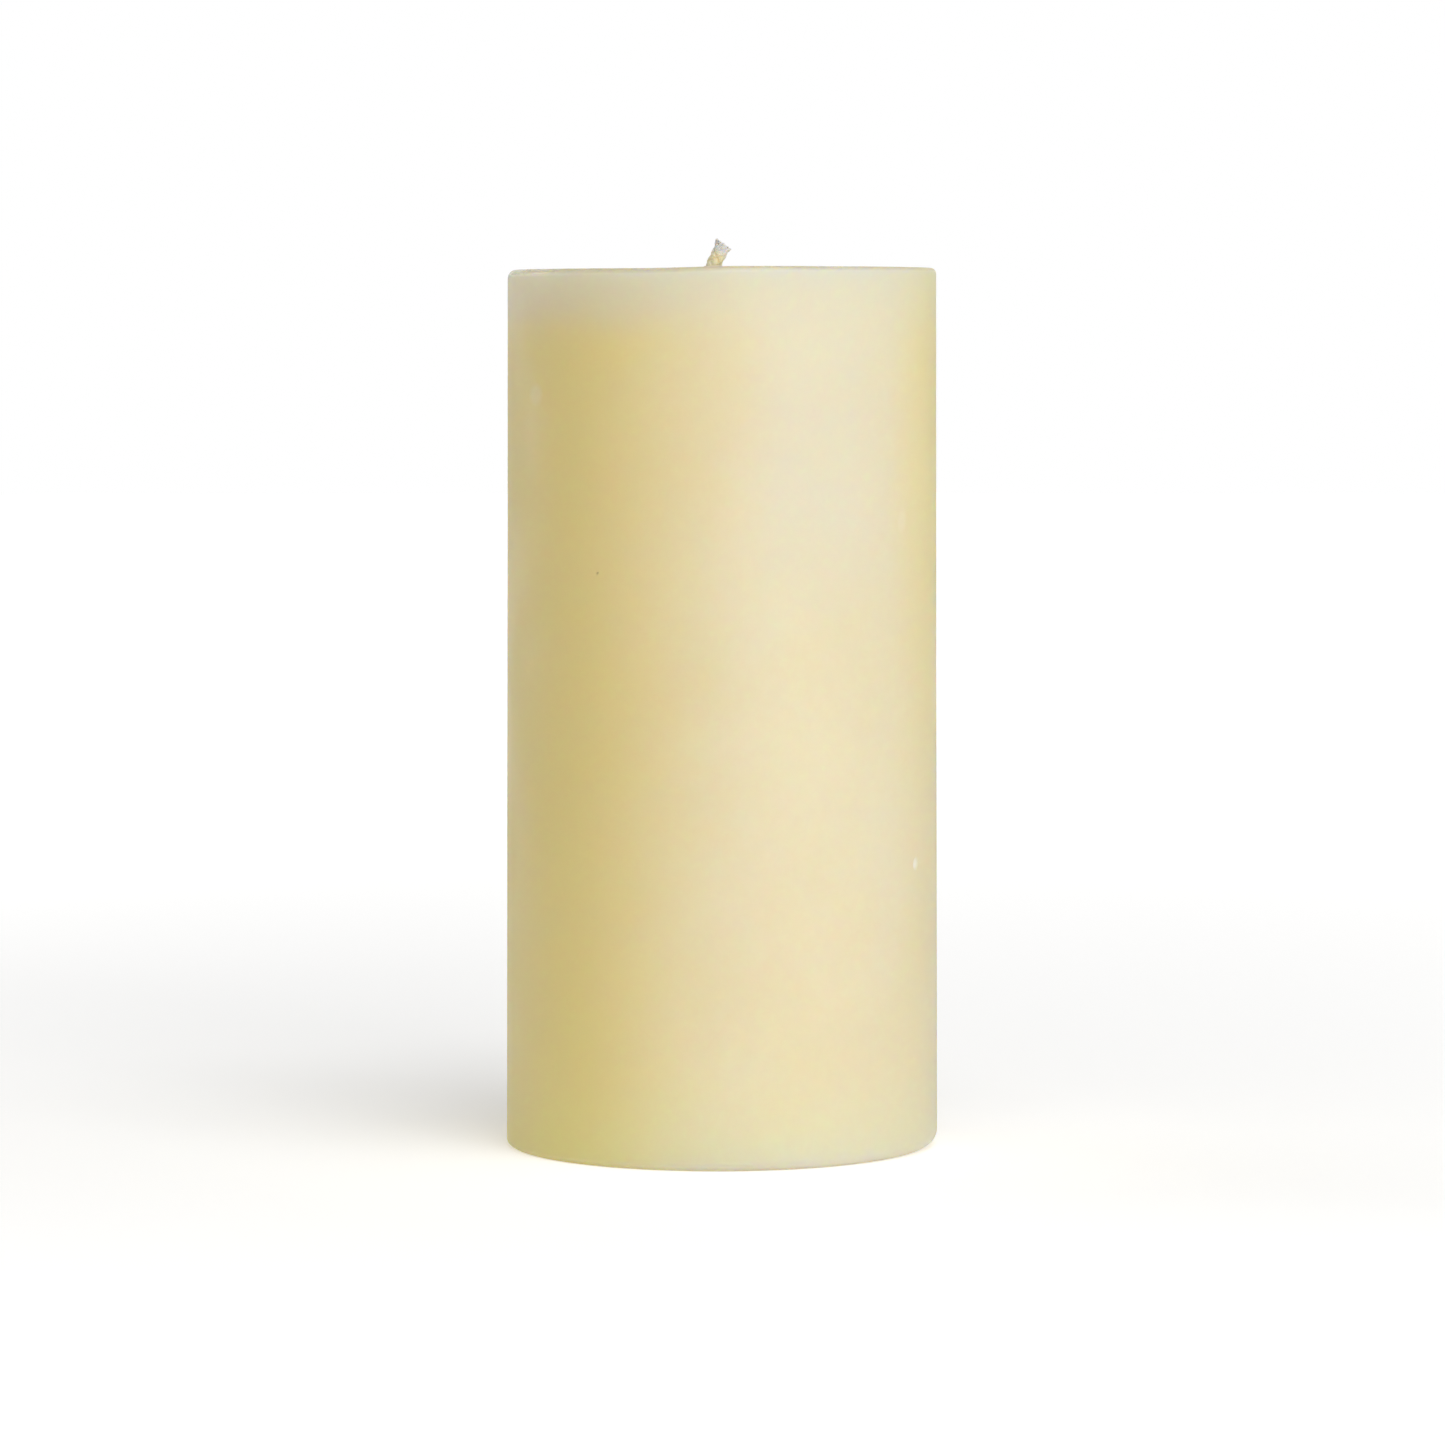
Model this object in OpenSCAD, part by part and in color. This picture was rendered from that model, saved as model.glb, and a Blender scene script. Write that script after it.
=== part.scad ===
// Pillar candle: a cast wax body on a flat ring, a braided cotton wick that runs
// its whole height, and the tinplate sustainer that holds the wick's foot.
// Millimetres. +Z is up and the origin is the middle of the base, on the surface
// that the candle stands on. +X is the side that the wick's end leans towards.

/* [Wax body] */
// Height of the wax, from the standing surface to the rim
wax_h = 152.4; // [90:0.5:230]
// Diameter of the wax at the base, before its edge is rounded
base_d = 75.3; // [60:0.1:100]
// Diameter of the wax at the rim, narrower so that it slides out of its mould
rim_d = 74.2; // [58:0.1:98]
// Radius of the rounded edge round the top
rim_round = 1.7; // [0.6:0.1:4]
// Radius of the rounded edge round the bottom
foot_round = 1.8; // [0.6:0.1:4]
// Width of the flat left between the rounded top edge and the dish
rim_flat_w = 1.5; // [0.5:0.1:5]
// Depth of the dish that the top sank into as the wax set
dish_depth = 0.5; // [0.2:0.1:1.5]

/* [Base] */
// Width of the flat ring that the candle stands on
ring_w = 7; // [4:0.5:12]
// Depth of the recess inside the ring
recess_depth = 1.2; // [0.8:0.1:2.5]

/* [Wick] */
// Diameter of the braided wick
wick_d = 2.8; // [2:0.1:4]
// Where the wick comes out of the top, beside the middle of the candle
wick_x = -1.7; // [-4:0.1:4]
// Length of wick above the wax, measured along it to the cut end
wick_out = 5.1; // [3.8:0.1:12]
// Angle that the wick's end leans from upright
wick_lean = 27; // [10:1:40]
// Angle that the cut end slopes from level
cut_lean = 36; // [20:1:45]
// Radius that the wick bends at
wick_bend_r = 2.6; // [2.4:0.1:10]
// Clearance between the wick and the channel that it runs in
wick_clear = 0.12; // [0.06:0.01:0.3]

/* [Braid] */
// Strands that wind each way round the wick
strands_each_way = 4; // [3:1:6]
// Diameter of one strand
strand_d = 1.0; // [0.7:0.05:1.3]
// Length of wick in which a strand goes once round
braid_pitch = 6.4; // [4:0.1:10]
// How far a strand rises and dips where it crosses the others
weave = 0.14; // [0.05:0.01:0.25]
// Length of braid that carries on below the top of the wax
braid_sunk = 1.4; // [0.5:0.1:4]
// Diameter of the flared end
flare_d = 3.5; // [3:0.1:5]
// Length of the flared end
flare_l = 1.6; // [0.6:0.1:3]
// How much shorter the shortest frayed strand ends than the longest
fray = 0.3; // [0:0.05:1]

/* [Wax round the wick] */
// Height that the wax climbs up the wick
meniscus_h = 0.5; // [0.2:0.1:0.6]
// Radius of the hollow curve that it climbs in
meniscus_r = 1.4; // [1.2:0.1:3]

/* [Wick sustainer] */
// Diameter of the sustainer's disc
disc_d = 20; // [14:0.5:30]
// Thickness of its sheet metal
sheet_t = 0.3; // [0.2:0.05:0.5]
// Height of the collar that grips the wick, from the disc's underside
collar_h = 4; // [3:0.1:8]
// Inner radius of the bend between the disc and the collar
bend_r = 0.6; // [0.4:0.1:1.5]
// Clearance between the collar and the wick
collar_clear = 0.05; // [0.03:0.01:0.15]
// Clearance between the sustainer and its pocket in the wax
pocket_clear = 0.12; // [0.05:0.01:0.3]
// How far the wick's foot stops short of the disc's underside
wick_foot_gap = 0.3; // [0:0.1:1]

/* [Hidden] */

$fn = 96;
// Facets round a strand and round the plain part of the wick
strand_fn = 8;
cord_fn = 32;
// Distance along the wick between two steps of a strand
strand_step = 0.26;

// How far a cut runs past the face that it opens
through = 1;

base_r = base_d / 2;
rim_r = rim_d / 2;
draft = atan((base_r - rim_r) / wax_h);
side_normal = [cos(draft), sin(draft)];

// Where the rounded edges leave the flats of the base and of the top
foot_round_x = base_r - foot_round * tan(45 + draft / 2);
rim_round_x = rim_r - rim_round * tan(45 - draft / 2);
recess_r = foot_round_x - ring_w;

// The dish is a part of a sphere with this radius
dish_edge_r = rim_round_x - rim_flat_w;
dish_r = (dish_edge_r * dish_edge_r + dish_depth * dish_depth) / (2 * dish_depth);

// Height of the wax where the wick comes out of it
wick_z = wax_h - dish_depth;
channel_r = wick_d / 2 + wick_clear;
wick_foot_z = recess_depth + wick_foot_gap;

collar_in_r = wick_d / 2 + collar_clear;
collar_out_r = collar_in_r + sheet_t;

strand_r = strand_d / 2;
braid_r = wick_d / 2 - strand_r - weave;
flare_r = (flare_d - wick_d) / 2;
bend_l = wick_bend_r * wick_lean * PI / 180;
// How far the sloping cut reaches past wick_out on the wick's longer side
cut_reach = flare_d / 2 * tan(abs(cut_lean - wick_lean));

// Leaning angle of the wick at distance s along it from the top of the wax
function lean_at(s) = s <= 0 ? 0 : min(wick_lean, s / wick_bend_r * 180 / PI);

// Middle of the wick at distance s
function wick_point(s) =
    let (turn = lean_at(s), straight = max(0, s - bend_l))
    [
        wick_x + wick_bend_r * (1 - cos(turn)) + straight * sin(turn),
        0,
        wick_z + min(s, 0) + wick_bend_r * sin(turn) + straight * cos(turn)
    ];

// Spread of the strands at distance s: none, then opening towards the cut end
function spread_at(s) =
    let (t = max(0, min(1, (s - wick_out + flare_l) / flare_l)))
    flare_r * t * t;

// Middle of one strand: way is 1 or -1 for the two directions of winding
function strand_point(s, way, turn_start) =
    let (
        wound = 360 * s / braid_pitch,
        around = turn_start + way * wound,
        out = braid_r + way * weave * cos(strands_each_way * wound) + spread_at(s),
        lean = lean_at(s)
    )
    wick_point(s) + out * [cos(around) * cos(lean), sin(around), -cos(around) * sin(lean)];

// How much a strand is cut short, a different share of the fray for each one
function cut_short(index) = fray * (0.5 + 0.5 * sin(137 * index));

// Half section of the wax, with the drafted side and both edges rounded
module wax_section() {
    difference() {
        union() {
            polygon([
                [0, 0],
                [foot_round_x, 0],
                [foot_round_x, foot_round] + foot_round * side_normal,
                [rim_round_x, wax_h - rim_round] + rim_round * side_normal,
                [rim_round_x, wax_h],
                [0, wax_h]
            ]);
            translate([foot_round_x, foot_round]) circle(foot_round);
            translate([rim_round_x, wax_h - rim_round]) circle(rim_round);
        }
        // Dish in the top
        translate([0, wick_z + dish_r]) circle(dish_r, $fn = 720);
        // Recess in the base, with its wall sloped to leave the mould
        polygon([
            [0, -through],
            [recess_r + through, -through],
            [recess_r - recess_depth, recess_depth],
            [0, recess_depth]
        ]);
    }
}

// Wax that has crept up round the wick
module meniscus() {
    foot_r = channel_r + meniscus_r;
    translate([wick_x, 0, wick_z])
        rotate_extrude()
            difference() {
                translate([0, -dish_depth]) square([foot_r, dish_depth + meniscus_h]);
                translate([foot_r, meniscus_r]) circle(meniscus_r);
            }
}

// Section of the sheet of the sustainer, grown by a clearance on its upper side
module sheet_section(grow) {
    bend = bend_r - grow;
    bend_x = collar_out_r + bend_r;
    bend_z = sheet_t + bend_r;
    union() {
        // Disc
        translate([bend_x, 0]) square([disc_d / 2 + grow - bend_x, sheet_t + grow]);
        // Collar
        translate([collar_in_r, bend_z])
            square([sheet_t + grow, collar_h + grow - bend_z]);
        // Bend
        translate([bend_x, bend_z])
            intersection() {
                difference() {
                    circle(bend_r + sheet_t);
                    circle(bend);
                }
                translate([-bend_r - sheet_t, -bend_r - sheet_t])
                    square(bend_r + sheet_t);
            }
    }
}

// Room for the sustainer in the wax, open to the recess below it
module sustainer_pocket() {
    translate([wick_x, 0, recess_depth])
        rotate_extrude()
            union() {
                sheet_section(pocket_clear);
                square([collar_out_r, collar_h + pocket_clear]);
                translate([0, -through]) square([disc_d / 2 + pocket_clear, through + sheet_t]);
            }
}

module wick_channel() {
    translate([wick_x, 0, 0]) cylinder(r = channel_r, h = wax_h + through);
}

module wax_body() {
    color("ivory")
        difference() {
            union() {
                rotate_extrude($fn = 180) wax_section();
                meniscus();
            }
            wick_channel();
            sustainer_pocket();
        }
}

// One strand of the braid, up to its own frayed end
module strand(way, index) {
    turn_start = 360 * index / strands_each_way;
    s_start = -braid_sunk - strand_r;
    s_end = wick_out + cut_reach - cut_short(index + (way > 0 ? 0 : strands_each_way));
    steps = ceil((s_end - s_start) / strand_step);
    for (i = [0 : steps - 1]) {
        hull() {
            for (k = [i, i + 1]) {
                s = s_start + (s_end - s_start) * k / steps;
                translate(strand_point(s, way, turn_start))
                    sphere(strand_r, $fn = strand_fn);
            }
        }
    }
}

// The yarn that fills the middle of the braid
module wick_core() {
    s_end = wick_out - fray;
    steps = ceil((s_end + braid_sunk) / (2 * strand_step));
    for (i = [0 : steps - 1]) {
        hull() {
            for (k = [i, i + 1]) {
                s = (s_end + braid_sunk) * k / steps - braid_sunk;
                translate(wick_point(s))
                    rotate([0, lean_at(s), 0])
                        cylinder(r = braid_r + spread_at(s), h = strand_step / 2, $fn = cord_fn);
            }
        }
    }
}

// Everything past the plane that the wick was cut off at
module past_the_cut() {
    reach = flare_d;
    translate(wick_point(wick_out))
        rotate([0, cut_lean, 0])
            translate([-reach, -reach, 0]) cube([2 * reach, 2 * reach, reach]);
}

module wick() {
    color("cornsilk")
        difference() {
            union() {
                // Waxed length that fills the channel and the sustainer's collar
                translate([wick_x, 0, wick_foot_z])
                    cylinder(d = wick_d, h = wick_z - braid_sunk - wick_foot_z, $fn = cord_fn);
                wick_core();
                for (index = [0 : strands_each_way - 1]) {
                    strand(1, index);
                    strand(-1, index);
                }
            }
            past_the_cut();
        }
}

module wick_sustainer() {
    color("silver")
        translate([wick_x, 0, recess_depth])
            rotate_extrude() sheet_section(0);
}

wax_body();
wick();
wick_sustainer();
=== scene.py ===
# %% [markdown]
# # A pillar candle
# A plain ivory pillar candle stands on a white floor in soft light. Its wax was
# poured into a tube mould, so the body is one round block with softly rounded
# edges. A braided cotton wick runs through it and leans out of the top.
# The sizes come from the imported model, so every piece here is built where the
# solid model says it is, in metres, with the candle standing on z = 0.

# %% Load the frame
import math

import bmesh
import bpy
import numpy as np
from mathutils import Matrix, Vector, noise


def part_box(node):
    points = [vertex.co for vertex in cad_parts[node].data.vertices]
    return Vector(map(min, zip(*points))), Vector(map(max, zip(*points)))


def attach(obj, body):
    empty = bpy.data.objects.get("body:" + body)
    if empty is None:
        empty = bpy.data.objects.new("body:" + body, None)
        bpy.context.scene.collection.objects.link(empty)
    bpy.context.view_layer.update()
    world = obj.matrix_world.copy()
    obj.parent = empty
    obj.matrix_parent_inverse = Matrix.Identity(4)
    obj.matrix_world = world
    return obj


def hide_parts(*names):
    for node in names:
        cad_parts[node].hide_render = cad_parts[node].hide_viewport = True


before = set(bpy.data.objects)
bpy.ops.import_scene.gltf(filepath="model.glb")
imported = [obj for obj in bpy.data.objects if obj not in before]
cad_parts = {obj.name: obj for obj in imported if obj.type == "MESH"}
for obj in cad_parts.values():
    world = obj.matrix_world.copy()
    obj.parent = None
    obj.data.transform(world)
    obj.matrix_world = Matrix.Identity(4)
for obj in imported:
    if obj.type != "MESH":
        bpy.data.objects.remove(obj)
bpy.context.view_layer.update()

MM = 0.001
_, wax_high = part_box("wax_body")
wick_low, wick_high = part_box("wick")
tab_low, tab_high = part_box("wick_sustainer")


# %% Put an object in the scene
def put(name, data):
    """A new object, unturned and at the origin."""
    piece = bpy.data.objects.new(name, data)
    bpy.context.scene.collection.objects.link(piece)
    return piece


# %% [markdown]
# ## The camera
# The photograph was taken with a long lens from about a metre away. The camera
# stood just below the rim's level and looked a little down, so the rim is a flat
# line and only the bottom edge shows a curve. Its place and tilt were fitted to
# those two edges. The long lens keeps the sides nearly parallel.

# %% Camera
CAMERA_DISTANCE = 1.0214
CAMERA_HEIGHT = 0.1423
CAMERA_RIGHT = 0.0001
CAMERA_TILT = math.radians(3.853)
LENS = 146.5


def make_camera():
    data = bpy.data.cameras.new("photo_camera")
    data.lens = LENS
    data.sensor_width = 36
    camera = put("photo_camera", data)
    camera.location = (CAMERA_RIGHT, -CAMERA_DISTANCE, CAMERA_HEIGHT)
    camera.rotation_euler = (math.pi / 2 - CAMERA_TILT, 0, 0)
    bpy.context.scene.camera = camera
    print("camera", round(math.degrees(2 * math.atan(18 / LENS)), 1), "degrees wide")


make_camera()

# %% [markdown]
# ## The wax body
# A cast body is a round section turned about an axis, and a Spin or a Screw
# modifier could make it. But a real one is never perfect: the rim sank a little
# unevenly as the wax set, the edges are rounder on one side, and the skin is very
# slightly wavy. So the mesh is made in code from rings of points: each ring
# follows the section, and small inward movements are then added. The rings and
# the columns lie closer together at the few marks in the wax, so that those are
# real dents and not painted ones.

# %% Sizes of the wax
BASE_R = wax_high[0]
RIM_R = 37.1 * MM
GAP = 0.12 * MM
WAX_H = 152.4 * MM
DISH = 0.5 * MM
RIM_FLAT = 1.5 * MM
RING_W = 7 * MM
RECESS = 1.2 * MM
WICK_X = (tab_low[0] + tab_high[0]) / 2
WICK_R = 1.4 * MM
WICK_BEND_R = 2.6 * MM
CHANNEL_R = WICK_R + GAP
MOUND_H = 0.9 * MM
MOUND_R = 1.1 * MM
POCKET_R = (tab_high[0] - tab_low[0]) / 2 + GAP
POCKET_TOP = tab_low[2] + 0.42 * MM
POCKET_BEND = 0.48 * MM
COLLAR_R = WICK_R + 0.47 * MM
COLLAR_TOP = tab_high[2] + GAP

SIDE_LOW = 4 * MM
SIDE_HIGH = WAX_H - 3.4 * MM
COLUMN_STEP = math.radians(1.5)
ROW_STEP = 1.7 * MM
print("wax, mm:", round(2 * BASE_R / MM, 1), "wide at the base,", round(WAX_H / MM, 1), "high")

# %% Marks in the side of the wax
# angle round the candle in degrees, counted from the right towards the back,
# height, half width, half height and depth in mm, lean to the right at its top in
# degrees, and how pale (to 1) or dark (to -1) it is
MARKS = {
    "nick": dict(angle=332.7, height=50.5, wide=1.0, tall=1.35, deep=0.30, lean=30, pale=1.0),
    "dent": dict(angle=211.2, height=130.7, wide=2.6, tall=2.2, deep=0.10, lean=0, pale=0.25),
    # The pinhole's dark tone is painted shade in its hollow.
    "pinhole": dict(angle=235.6, height=100.8, wide=0.28, tall=0.28, deep=0.25, lean=0, pale=-0.6),
    "scuff": dict(angle=325.3, height=109.4, wide=1.6, tall=2.4, deep=0.03, lean=10, pale=0.2),
}


def smooth_step(low, high, value):
    t = np.clip((value - low) / (high - low), 0.0, 1.0)
    return t * t * (3 - 2 * t)


def spaced(start, end, step, fine_step, fine_spans):
    """Places from start to end, step apart, and fine_step apart inside the fine spans."""
    places = [start]
    while places[-1] < end - fine_step:
        here = places[-1]
        fine = any(low <= here < high for low, high in fine_spans)
        jump = fine_step if fine else step
        for low, _ in fine_spans:
            if here < low < here + jump:
                jump = low - here
        places.append(min(here + jump, end))
    return np.array(places)


print("marks:", ", ".join(MARKS))


# %% Columns round the candle and rows up its side
def mark_spans(margin):
    """The angles and the heights that the small marks cover."""
    angles, heights = [], []
    for mark in MARKS.values():
        half = math.degrees(mark["wide"] * MM / RIM_R) * margin
        angles.append((math.radians(mark["angle"] - half), math.radians(mark["angle"] + half)))
        tall = mark["tall"] * margin
        heights.append(((mark["height"] - tall) * MM, (mark["height"] + tall) * MM))
    return angles, heights


angle_spans, height_spans = mark_spans(margin=1.6)
columns = spaced(0, 2 * math.pi, COLUMN_STEP, COLUMN_STEP / 5, angle_spans)[:-1]
print(len(columns), "columns round the candle")

# %% Uneven edges
# The wax sank most at the front left, and the edge is softest there; the foot is
# rounder at the right.
RIM_DROP = 0.33 * MM
RIM_ROUND = (1.5 * MM, 1.0 * MM)
FOOT_ROUND = (1.0 * MM, 2.6 * MM)

leftness = (1 - np.cos(columns)) / 2
rim_round = RIM_ROUND[0] * leftness + RIM_ROUND[1] * (1 - leftness)
foot_round = FOOT_ROUND[0] * leftness + FOOT_ROUND[1] * (1 - leftness)
turn = np.degrees(columns)
rim_drop = RIM_DROP * smooth_step(100, 170, turn) * (1 - smooth_step(248, 276, turn))
print("the rim sank by up to mm", round(rim_drop.max() / MM, 2))


# %% The section, ring by ring
def lines(*stops):
    """Rings along straight lines. A stop is a radius, a height and the rings up to the next."""
    for (radius, height, count), (next_radius, next_height, _) in zip(stops, stops[1:]):
        for t in np.arange(count) / count:
            yield radius + (next_radius - radius) * t, height + (next_height - height) * t


def arc(centre, radius, start, end, count):
    """Rings along an arc between two angles in degrees."""
    for t in np.arange(count) / count:
        angle = math.radians(start + (end - start) * t)
        yield centre[0] + radius * math.cos(angle), centre[1] + radius * math.sin(angle)


def dish_height(radius):
    """Height of the dished top at a radius."""
    edge = RIM_R - RIM_ROUND[0] - RIM_FLAT
    return WAX_H - DISH * (1 - np.minimum(radius / edge, 1.0) ** 2)


print("the top is at mm", round(dish_height(0) / MM, 2), "in the middle")


# %% Rings of the base
draft = math.atan((BASE_R - RIM_R) / WAX_H)
foot_x = BASE_R - foot_round * math.tan(math.pi / 4 + draft / 2)
rim_x = RIM_R - rim_round * math.tan(math.pi / 4 - draft / 2)
recess_r = BASE_R - FOOT_ROUND[1] - RING_W
SOFT = 0.3 * MM


def base_rings():
    """Rings from the pocket of the sustainer, across the recess, to the standing ring."""
    bend = (COLLAR_R + POCKET_BEND, POCKET_TOP + POCKET_BEND)
    recess_top = recess_r - RECESS
    return [
        *lines((0, COLLAR_TOP, 3), (COLLAR_R, COLLAR_TOP, 2), (COLLAR_R, bend[1], 0)),
        *arc(bend, POCKET_BEND, 180, 270, 5),
        *lines((bend[0], POCKET_TOP, 6), (POCKET_R, POCKET_TOP, 2),
               (POCKET_R, RECESS + SOFT / 3, 2), (POCKET_R + SOFT / 3, RECESS, 12),
               (recess_top - SOFT, RECESS, 2), (recess_top, RECESS - SOFT / 2, 3),
               (recess_r, SOFT / 2, 3), (recess_r + SOFT, 0, 6), (foot_x, 0, 0)),
    ]


print(len(base_rings()), "rings in the base")


# %% Rings of the side
def side_radius(height):
    """The mould is a little wider at the base, so that the candle slides out."""
    return BASE_R + (RIM_R - BASE_R) * height / WAX_H


def side_rings():
    """Rings of the rounded foot, the side and the rounded rim."""
    foot_edge = (foot_x + foot_round * math.cos(draft), foot_round * (1 + math.sin(draft)))
    rings = [*arc((foot_x, foot_round), foot_round, -90, math.degrees(draft), 9), foot_edge]
    for height in spaced(SIDE_LOW, SIDE_HIGH, ROW_STEP, ROW_STEP / 7, height_spans):
        rings.append((side_radius(height), height))
    rings += arc((rim_x, WAX_H - rim_round - rim_drop), rim_round, math.degrees(draft), 90, 9)
    return rings


print(len(side_rings()), "rings in the side")


# %% Rings of the top
# The wax climbs up the wick in a mound, which is longest where the wick leans over.
DISH_RINGS = 26
LONGER = 0.7
under_lean = ((1 + np.cos(columns)) / 2) ** 2
mound_reach = 1 + LONGER * under_lean
mound_rise = 1 + 0.12 * under_lean + 0.04 * np.sin(3 * columns + 0.6)


def top_rings():
    """Rings of the dish and of the mound, in to the wick."""
    rings = []
    for t in np.arange(DISH_RINGS) / DISH_RINGS:
        radius = rim_x + (CHANNEL_R + MOUND_R * mound_reach - rim_x) * (1 - (1 - t) ** 1.4)
        drop = rim_drop * smooth_step(4 * MM, 34 * MM, radius)
        rings.append((radius, dish_height(radius) - drop))
    low = WAX_H - DISH
    steep = math.degrees(math.acos(1 - MOUND_H / MOUND_R))
    lip = CHANNEL_R + MOUND_R * (1 - math.sin(math.radians(steep)))
    # Inside the wick, where nothing shows, the rings close.
    inner, inner_z = WICK_R * 0.6, low + MOUND_H * 0.9
    middle_z = low + MOUND_H * 0.8
    for radius, height in arc((CHANNEL_R + MOUND_R, MOUND_R), MOUND_R, -90, -90 - steep, 10):
        rings.append((CHANNEL_R + (radius - CHANNEL_R) * mound_reach, low + height * mound_rise))
    rings += lines((lip, low + MOUND_H * mound_rise, 5), (inner, inner_z, 3), (0, middle_z, 0))
    return rings + [(0, middle_z)]


rings = base_rings() + side_rings() + top_rings()
print(len(rings), "rings,", len(rings) * len(columns), "points in the wax")


# %% From rings to places
def wick_shift(height):
    """How far the wick has leant to the right at a height in the mound."""
    rise = np.clip(height - (WAX_H - DISH), 0, MOUND_H * 1.2)
    return WICK_BEND_R - np.sqrt(WICK_BEND_R ** 2 - rise ** 2)


def wax_points():
    """Places of all points, one row for each ring. Rings near the wick are centred on it."""
    places = np.empty((len(rings), len(columns), 3))
    for row, (radius, height) in enumerate(rings):
        radius = np.broadcast_to(radius, columns.shape)
        shift = WICK_X * (1 - smooth_step(12 * MM, 26 * MM, radius))
        shift = shift + wick_shift(height) * (radius < CHANNEL_R + 2 * MOUND_R)
        places[row, :, 0] = shift + radius * np.cos(columns)
        places[row, :, 1] = radius * np.sin(columns)
        places[row, :, 2] = height
    return places.reshape(-1, 3)


def skin_wave(x, y, z):
    """A slow wave of the skin, from 0 to 1. The scales are in waves per metre."""
    slow = noise.noise(Vector((x * 38, y * 38, z * 22)))
    small = noise.noise(Vector((x * 150 + 7, y * 150, z * 110)))
    return 0.5 + 0.42 * slow + 0.14 * small


WAVE_DEPTH = 0.07 * MM


def press_marks(points):
    """Moves the points inwards at the waves and the marks. Returns how pale each is."""
    x, y, z = points.T
    radius = np.hypot(x, y)
    on_side = smooth_step(35 * MM, 36.6 * MM, radius)
    depth = on_side * WAVE_DEPTH * np.array([skin_wave(*p) for p in points])
    pale = np.zeros(len(points))
    for mark in MARKS.values():
        angle = math.radians(mark["angle"])
        off = np.angle(np.exp(1j * (np.arctan2(y, x) - angle)))
        across, up = off * RIM_R, z - mark["height"] * MM
        lean = math.radians(mark["lean"])
        along = up * math.cos(lean) + across * math.sin(lean)
        aside = across * math.cos(lean) - up * math.sin(lean)
        reach = (aside / (mark["wide"] * MM)) ** 2 + (along / (mark["tall"] * MM)) ** 2
        bowl = np.clip(1 - reach, 0, 1) * on_side
        depth += mark["deep"] * MM * bowl ** 0.8
        pale += mark["pale"] * np.clip(1.3 * bowl, 0, 1) ** 1.4
    inwards = 1 - depth / np.maximum(radius, 1e-6)
    points[:, 0] *= inwards
    points[:, 1] *= inwards
    return pale


print("skin waves, mm deep:", round(WAVE_DEPTH / MM, 2))


# %% Make the wax body
def grid_faces(rows, count):
    """Four-sided faces of a grid of rings, facing outwards."""
    row, column = np.divmod(np.arange((rows - 1) * count), count)
    next_column = (column + 1) % count
    corners = [row * count + column, row * count + next_column,
               (row + 1) * count + next_column, (row + 1) * count + column]
    return np.stack(corners, axis=1)


def mesh_object(name, points, faces):
    """A smooth mesh whose doubled points, such as those of a ring of no size, are merged."""
    mesh = bpy.data.meshes.new(name)
    mesh.from_pydata(points.tolist(), [], faces.tolist())
    shape = bmesh.new()
    shape.from_mesh(mesh)
    bmesh.ops.remove_doubles(shape, verts=shape.verts, dist=1e-7)
    shape.to_mesh(mesh)
    shape.free()
    mesh.shade_smooth()
    return put(name, mesh)


def points_of(piece):
    places = np.empty(len(piece.data.vertices) * 3)
    piece.data.vertices.foreach_get("co", places)
    return places.reshape(-1, 3)


def store(piece, name, values):
    """Keeps a number for each point, for a material to read."""
    attribute = piece.data.attributes.new(name, "FLOAT", "POINT")
    attribute.data.foreach_set("value", np.asarray(values, np.float32))


def make_wax():
    piece = mesh_object("wax_pillar", wax_points(), grid_faces(len(rings), len(columns)))
    points = points_of(piece)
    store(piece, "pale", press_marks(points))
    piece.data.vertices.foreach_set("co", points.ravel())
    piece.data.update()
    return piece


wax = make_wax()
wax_top = points_of(wax)[:, 2].max()
print("wax faces:", len(wax.data.polygons), "top at mm", round(wax_top / MM, 2))

# %% [markdown]
# ## The wick's path
# The wick comes straight up through the wax, then bends over to the right and
# ends in a clean cut. Its path is a line, an arc and a short line, the same as
# in the solid model, and everything on the wick follows it.

# %% Path of the wick
WICK_LEAN = math.radians(27)
CUT_LEAN = math.radians(36)
WICK_OUT = 5.1 * MM
WICK_Z = WAX_H - DISH
WICK_FOOT_Z = wick_low[2]
BRAID_SUNK = 1.4 * MM
FLARE_L = 1.6 * MM


def wick_place(s):
    """Place of the wick's middle and its direction, s along it from the top of the wax."""
    lean = min(max(s / WICK_BEND_R, 0), WICK_LEAN)
    straight = max(s - WICK_BEND_R * WICK_LEAN, 0)
    x = WICK_X + WICK_BEND_R * (1 - math.cos(lean)) + straight * math.sin(lean)
    z = WICK_Z + min(s, 0) + WICK_BEND_R * math.sin(lean) + straight * math.cos(lean)
    return Vector((x, 0, z)), Vector((math.sin(lean), 0, math.cos(lean)))


def path_curve(name, start, end, count):
    """A curve object of one line of points along the wick's path."""
    curve = bpy.data.curves.new(name, "CURVE")
    curve.dimensions = "3D"
    spline = curve.splines.new("POLY")
    spline.points.add(count - 1)
    for k, point in enumerate(spline.points):
        place, _ = wick_place(start + (end - start) * k / (count - 1))
        point.co = (*place, 1)
    return put(name, curve)


cut_place, _ = wick_place(WICK_OUT)
cut_way = Vector((math.sin(CUT_LEAN), 0, math.cos(CUT_LEAN)))
print("the wick is cut at mm", [round(v / MM, 2) for v in cut_place])

# %% [markdown]
# ## Helpers for node trees
# Geometry Nodes and materials are both trees of nodes joined by links. A few
# small helpers keep the scripts short: each adds a node, fills its inputs and
# hands back the node or its result.


# %% Helpers for node trees
def add(tree, kind, inputs=None, **settings):
    """Adds a node. An input given as a socket is linked, any other value is set."""
    node = tree.nodes.new(kind)
    for name, value in settings.items():
        setattr(node, name, value)
    for key, value in (inputs or {}).items():
        if isinstance(value, bpy.types.NodeSocket):
            tree.links.new(value, node.inputs[key])
        else:
            node.inputs[key].default_value = value
    return node


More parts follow.
